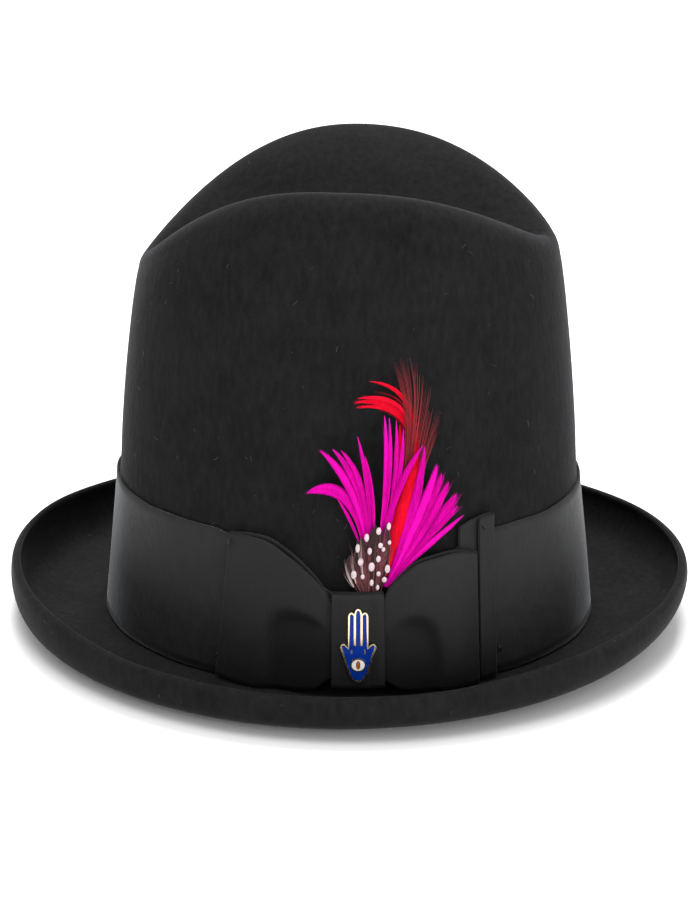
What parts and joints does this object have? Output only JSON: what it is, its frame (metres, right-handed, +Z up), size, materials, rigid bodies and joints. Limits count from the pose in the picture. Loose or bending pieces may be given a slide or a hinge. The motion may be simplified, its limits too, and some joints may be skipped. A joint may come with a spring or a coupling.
{
  "type": "trilby hat",
  "caption": "Black felt trilby with a centre-dented crown, curled brim, wide ribbon band and bow, feather plume and a small enamel hand pin.",
  "frame": {"origin": "centre of the brim's outline, at the height of the flat felt round the head opening that the hat rests on", "axes": "+Z up, +X toward the back of the hat and -X toward its front, -Y toward the wearer's left side with the bow, plume and pin"},
  "size_m": [0.2828, 0.254, 0.1937],
  "materials": {
    "black_felt": "matt wool felt",
    "black_ribbon": "ribbed grosgrain, slight sheen",
    "pink_feather": "dyed feather",
    "red_feather": "dyed feather",
    "guinea_feather": "brown feather with pale spots",
    "gold_tone": "polished pale gold",
    "blue_enamel": "glossy enamel",
    "white_enamel": "glossy enamel",
    "brown_enamel": "glossy enamel"
  },
  "bodies": {
    "root": {"felt_body": "black_felt", "hat_band": "black_ribbon", "bow_left_loop": "black_ribbon", "bow_right_loop": "black_ribbon", "bow_knot": "black_ribbon", "ribbon_end": "black_ribbon", "pink_feathers": "pink_feather", "red_feathers": "red_feather", "guinea_feathers": "guinea_feather", "pin_plate": "gold_tone", "pin_enamel": "blue_enamel", "pin_eye": "white_enamel", "pin_pupil": "brown_enamel"}
  },
  "joints": []
}
